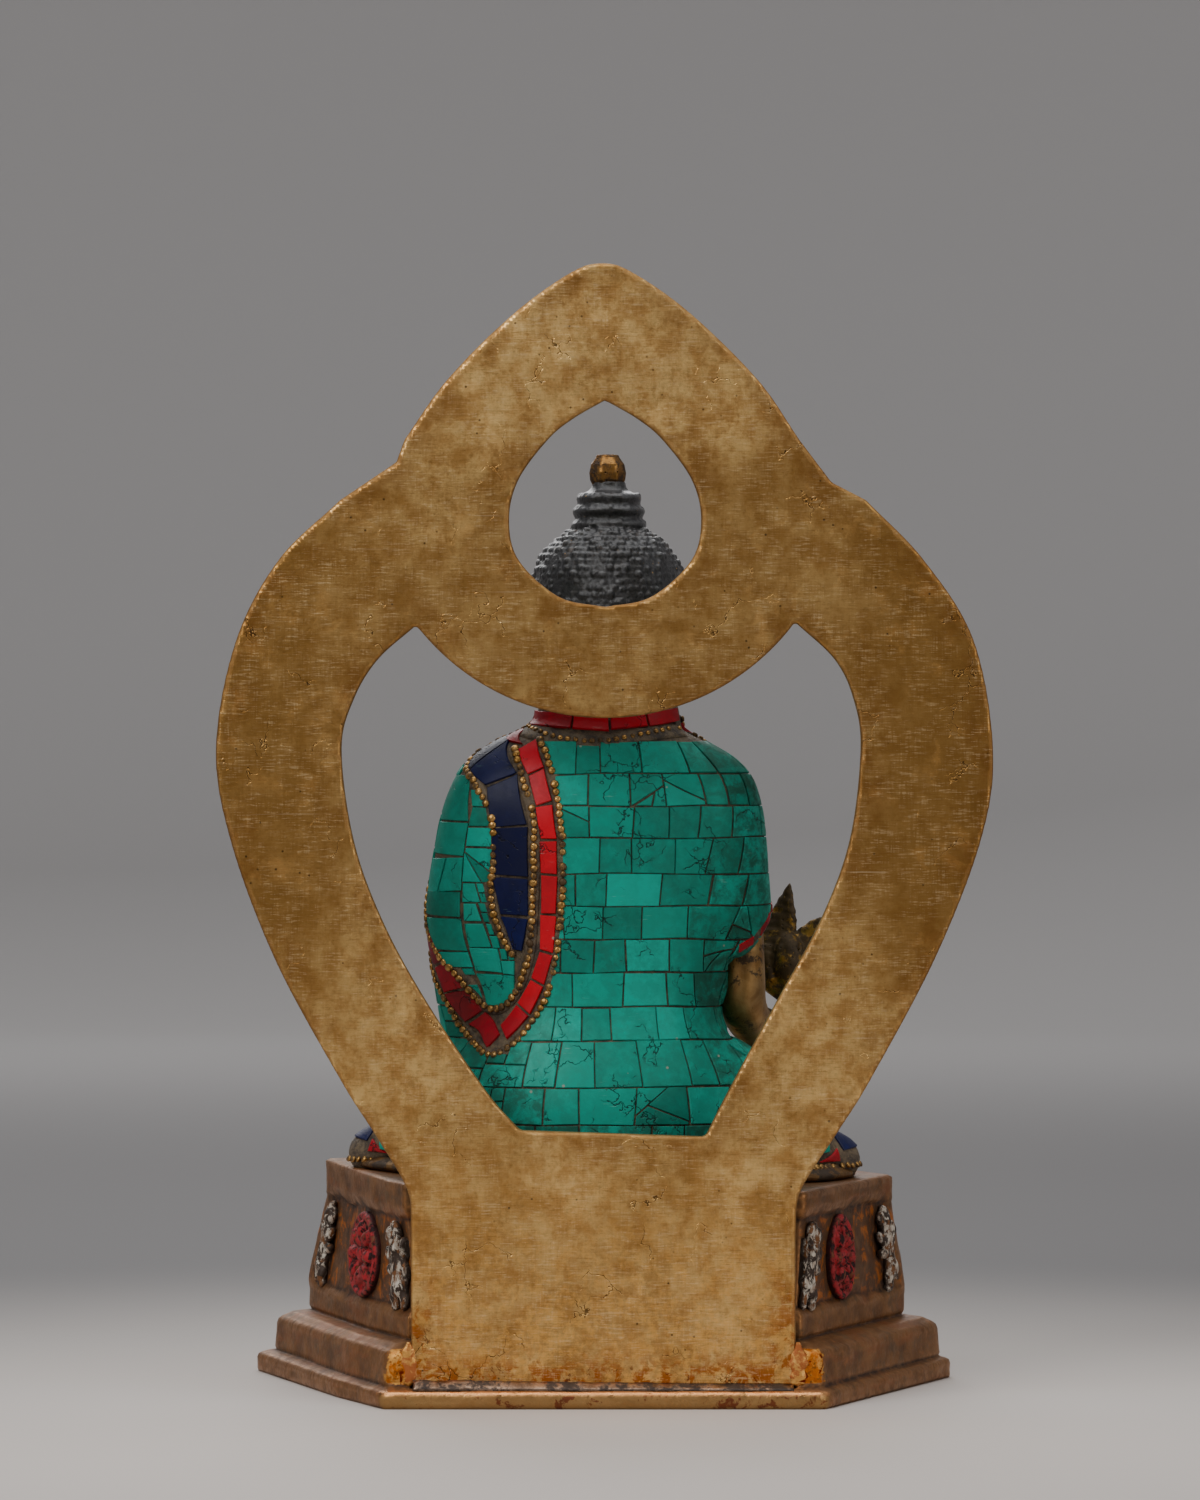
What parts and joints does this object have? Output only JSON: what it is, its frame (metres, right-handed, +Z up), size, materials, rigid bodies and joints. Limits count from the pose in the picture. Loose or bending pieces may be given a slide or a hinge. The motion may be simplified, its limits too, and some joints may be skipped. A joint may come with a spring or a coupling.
{
  "type": "seated medicine buddha figure on a throne with a halo plate",
  "caption": "Small brass altar figure of the seated medicine buddha with stone inlay, on a stepped throne and backed by a pierced halo plate.",
  "frame": {"origin": "middle of the throne's flat underside", "axes": "+Z up, the figure faces -Y, the halo plate is at +Y, +X is the figure's left"},
  "size_m": [0.1358, 0.092, 0.2],
  "materials": {
    "throne_brass": "brown patina, worn edges, painted reliefs",
    "halo_brass": "ground satin with fine scratches, painted front edge",
    "figure_brass": "cast, darkened in the hollows",
    "turquoise_inlay": "polished turquoise mosaic in dark resin",
    "coral_inlay": "polished red stone",
    "lapis_inlay": "polished dark blue stone",
    "hair_paint": "satin black paint on cast curls"
  },
  "bodies": {
    "root": {"throne_base": "throne_brass", "halo_frame": "halo_brass", "buddha_figure": "turquoise_inlay", "coral_band_1": "coral_inlay", "coral_band_2": "coral_inlay", "coral_band_3": "coral_inlay", "coral_band_4": "coral_inlay", "coral_band_5": "coral_inlay", "coral_band_6": "coral_inlay", "coral_band_7": "coral_inlay", "coral_band_8": "coral_inlay", "coral_band_9": "coral_inlay", "coral_band_10": "coral_inlay", "coral_band_11": "coral_inlay", "coral_band_12": "coral_inlay", "coral_band_13": "coral_inlay", "collar_coral_1": "coral_inlay", "collar_coral_2": "coral_inlay", "collar_coral_3": "coral_inlay", "collar_coral_4": "coral_inlay", "collar_coral_5": "coral_inlay", "lapis_band_1": "lapis_inlay", "lapis_band_2": "lapis_inlay", "lapis_band_3": "lapis_inlay", "lapis_band_4": "lapis_inlay", "lapis_band_5": "lapis_inlay", "lapis_band_6": "lapis_inlay"}
  },
  "joints": []
}
